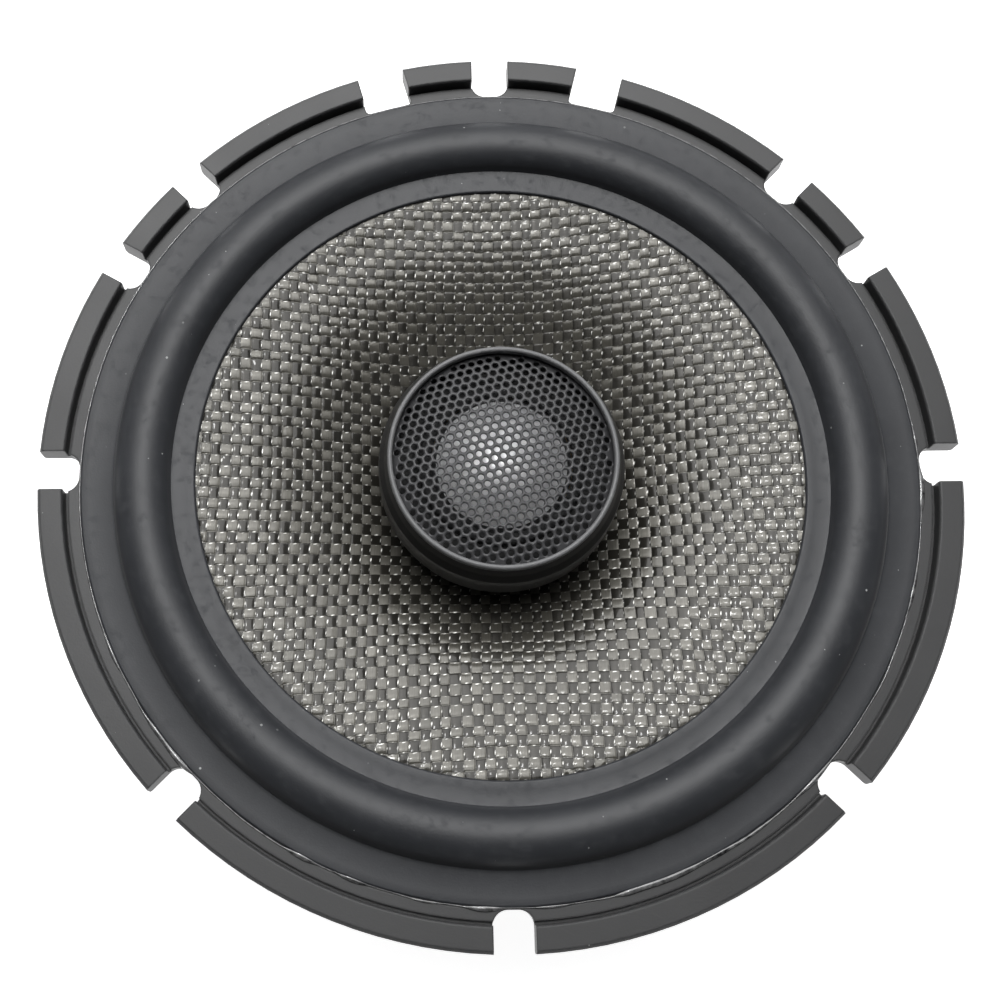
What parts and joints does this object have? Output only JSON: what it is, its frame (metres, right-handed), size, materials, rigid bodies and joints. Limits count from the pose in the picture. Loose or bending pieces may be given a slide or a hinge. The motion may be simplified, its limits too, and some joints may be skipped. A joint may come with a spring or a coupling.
{
  "type": "coaxial car loudspeaker",
  "caption": "Round flanged coaxial loudspeaker: woven cone on a rubber surround, tweeter pod on a central post, open basket and ferrite motor behind.",
  "frame": {"origin": "centre of the rear face of the magnet boot, on the cone's axis", "axes": "+Z along the axis from the magnet towards the listener, -Y towards the terminal board, +X to the right seen from the front with the terminals down"},
  "size_m": [0.1648, 0.1648, 0.0716],
  "materials": {
    "moulded_frame": "fine grained, satin on the raised rim",
    "rubber_surround": "matte butyl rubber",
    "woven_cone": "plain weave of metallised glass fibre in clear resin",
    "former_sheet": "amber polyimide sheet",
    "copper_wire": "enamelled copper winding",
    "spider_cloth": "resin-treated cotton cloth",
    "tinsel_braid": "braided tinsel wire",
    "plated_steel": "zinc plated",
    "ferrite": "ground ferrite",
    "boot_rubber": "smooth matte rubber",
    "screw_steel": "zinc plated",
    "board_fibre": "phenolic fibre board",
    "blade_brass": "plain brass",
    "capacitor_sleeve": "shrunk sleeve",
    "tinned_wire": "tinned copper",
    "wire_red": "soft insulation",
    "wire_black": "soft insulation",
    "pod_plastic": "moulded, fine matte",
    "bezel_paint": "satin grey",
    "grille_paint": "satin black",
    "dome_aluminium": "smooth anodised",
    "dome_cloth": "soft edge",
    "felt": "wool felt"
  },
  "bodies": {
    "frame": {"basket": "moulded_frame", "surround": "rubber_surround", "spider": "spider_cloth", "tinsel_lead_positive": "tinsel_braid", "tinsel_lead_negative": "tinsel_braid", "front_plate": "plated_steel", "ring_magnet": "ferrite", "yoke": "plated_steel", "magnet_boot": "boot_rubber", "basket_screws": "screw_steel", "terminal_board": "board_fibre", "positive_blade": "blade_brass", "negative_blade": "blade_brass", "blade_rivets": "blade_brass", "board_rivet": "screw_steel", "capacitor": "capacitor_sleeve", "capacitor_lead": "tinned_wire", "tweeter_wire_positive": "wire_red", "tweeter_wire_negative": "wire_black", "tweeter_stud": "blade_brass", "stud_washer": "screw_steel", "stud_nut": "screw_steel", "pod_spacer": "pod_plastic", "tweeter_pod": "pod_plastic", "pod_bezel": "bezel_paint", "tweeter_grille": "grille_paint", "tweeter_faceplate": "pod_plastic", "tweeter_surround": "dome_cloth", "tweeter_front_plate": "plated_steel", "tweeter_magnet": "plated_steel", "tweeter_cup": "plated_steel", "tweeter_felt": "felt"},
    "cone_assembly": {"cone": "woven_cone", "coil_former": "former_sheet", "coil_winding": "copper_wire"},
    "tweeter_diaphragm": {"tweeter_dome": "dome_aluminium", "tweeter_former": "former_sheet", "tweeter_winding": "copper_wire"}
  },
  "joints": [
    {"name": "cone_slide", "type": "slide", "parent": "frame", "child": "cone_assembly", "axis": [0, 0, 1], "range_m": [-0.003, 0.003], "stiffness_N_per_m": 2500, "deforming": ["surround", "spider", "tinsel_lead_positive", "tinsel_lead_negative"]},
    {"name": "tweeter_slide", "type": "slide", "parent": "frame", "child": "tweeter_diaphragm", "axis": [0, 0, 1], "range_m": [-0.0003, 0.0003], "stiffness_N_per_m": 1500, "deforming": ["tweeter_surround"]}
  ]
}
